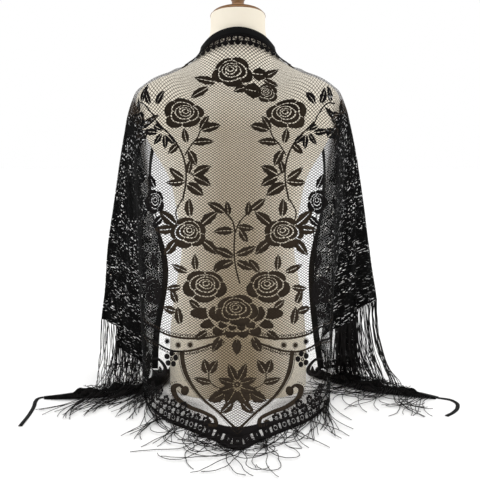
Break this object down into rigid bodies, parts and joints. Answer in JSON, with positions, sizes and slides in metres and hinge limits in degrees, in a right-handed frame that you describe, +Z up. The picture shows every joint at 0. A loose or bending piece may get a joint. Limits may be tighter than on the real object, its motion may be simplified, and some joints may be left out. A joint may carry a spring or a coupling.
{
  "type": "lace shawl on dress form",
  "caption": "Black lace triangle shawl with ribbon-bound edge, ties and fringe, draped over the shoulders of a limbless dress form on its flat base.",
  "frame": {"origin": "centre of the dress form's flat base, on the floor", "axes": "+Z up, +Y the way the dress form faces, -Y the back where the shawl's tip reaches the floor, +X to the right when seen from behind"},
  "size_m": [0.8444, 0.5352, 0.8105],
  "materials": {
    "lace": "matte knitted lace",
    "ribbon": "satin",
    "fringe": "soft thread",
    "cover": "woven cover",
    "wood": "varnished"
  },
  "bodies": {
    "root": {"form_body": "cover", "form_cap": "wood", "form_finial": "wood", "fringe_back_left": "fringe", "fringe_back_right": "fringe", "fringe_left_end": "fringe", "fringe_left_front": "fringe", "fringe_left_side": "fringe", "fringe_right_end": "fringe", "fringe_right_front": "fringe", "fringe_right_side": "fringe", "lace_back": "lace", "lace_left_end": "lace", "lace_left_front": "lace", "lace_left_side": "lace", "lace_right_end": "lace", "lace_right_front": "lace", "lace_right_side": "lace", "neck_trim": "lace", "ribbon_left_end": "ribbon", "ribbon_left_front": "ribbon", "ribbon_neck": "ribbon", "ribbon_right_end": "ribbon", "ribbon_right_front": "ribbon", "tie_left": "ribbon", "tie_right": "ribbon"}
  },
  "joints": []
}
